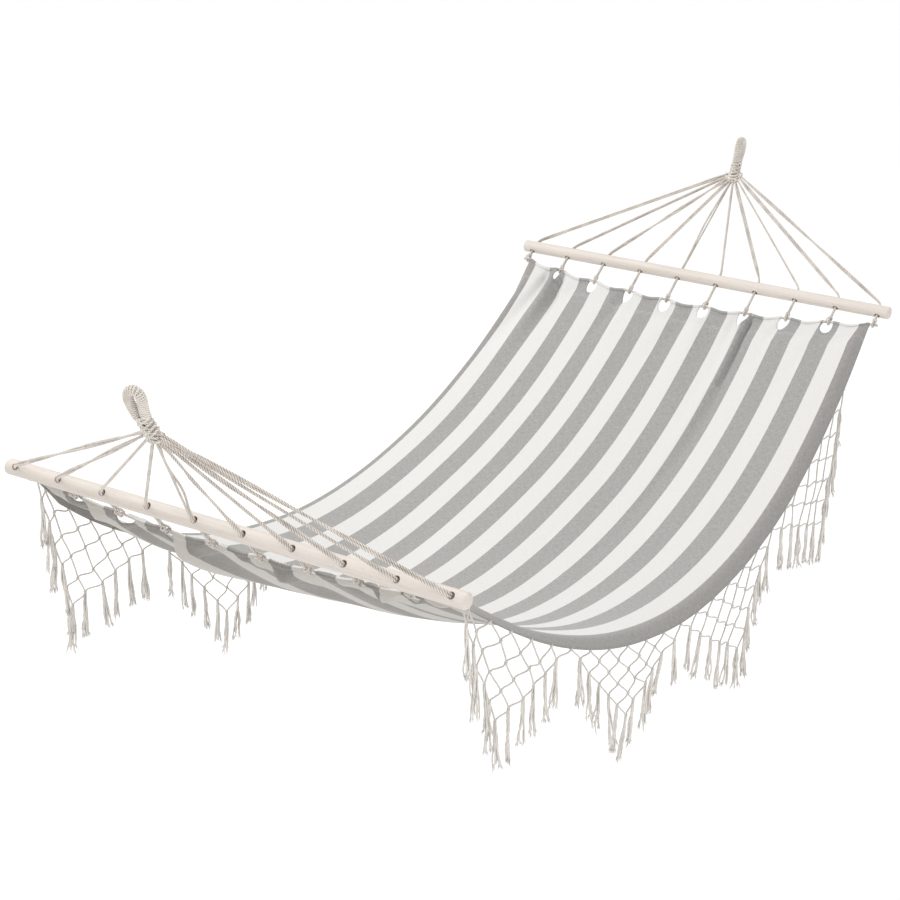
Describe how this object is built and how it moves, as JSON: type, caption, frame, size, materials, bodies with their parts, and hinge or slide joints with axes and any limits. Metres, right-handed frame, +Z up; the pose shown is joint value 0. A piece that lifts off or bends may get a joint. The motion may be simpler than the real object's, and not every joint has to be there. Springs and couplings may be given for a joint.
{
  "type": "spreader bar hammock",
  "caption": "Striped woven cloth hammock hung by fans of doubled ropes from wooden spreader bars and served rope eyes, with a knotted net fringe and tassels.",
  "frame": {"origin": "the hook seat, at the inside top of the head eye", "axes": "+X from the foot eye to the head eye, +Y to the left side, +Z up, as it hangs"},
  "size_m": [2.3316, 1.018, 0.9598],
  "materials": {
    "bar_wood": "sanded, clear matt oil",
    "bed_cloth": "woven cotton, white and grey stripes",
    "serving_cord": "close-wound cotton cord",
    "fringe_cord": "knotted cotton cord",
    "tassel_yarn": "unlaid cotton yarn",
    "rope": "laid cotton rope"
  },
  "bodies": {
    "eyes": {"foot_eye": "rope", "foot_eye_serving": "serving_cord", "foot_throat_binding": "rope", "head_eye": "rope", "head_eye_serving": "serving_cord", "head_throat_binding": "rope"},
    "head_end": {"head_spreader_bar": "bar_wood", "head_rope_1": "rope", "head_rope_2": "rope", "head_rope_3": "rope", "head_rope_4": "rope", "head_rope_5": "rope", "head_rope_6": "rope", "head_rope_7": "rope", "head_rope_8": "rope", "head_rope_9": "rope", "head_rope_10": "rope", "head_hitch_knots": "rope", "head_bolt_rope": "rope", "bed_cloth_head": "bed_cloth", "left_net_head": "fringe_cord", "left_tassels_head": "tassel_yarn", "right_net_head": "fringe_cord", "right_tassels_head": "tassel_yarn"},
    "foot_end": {"foot_spreader_bar": "bar_wood", "foot_rope_1": "rope", "foot_rope_2": "rope", "foot_rope_3": "rope", "foot_rope_4": "rope", "foot_rope_5": "rope", "foot_rope_6": "rope", "foot_rope_7": "rope", "foot_rope_8": "rope", "foot_rope_9": "rope", "foot_rope_10": "rope", "foot_hitch_knots": "rope", "foot_bolt_rope": "rope", "bed_cloth_foot": "bed_cloth", "left_net_foot": "fringe_cord", "left_tassels_foot": "tassel_yarn", "right_net_foot": "fringe_cord", "right_tassels_foot": "tassel_yarn"}
  },
  "joints": [
    {"name": "swing", "type": "hinge", "parent": "eyes", "child": "head_end", "pos_m": [-0.03034, 0, -0.0751], "axis": [1, 0, 0], "range_deg": [-25, 25]},
    {"name": "foot_tilt", "type": "hinge", "parent": "head_end", "child": "foot_end", "pos_m": [-2.27034, 0, -0.0751], "axis": [1, 0, 0], "range_deg": [-10, 10]}
  ]
}
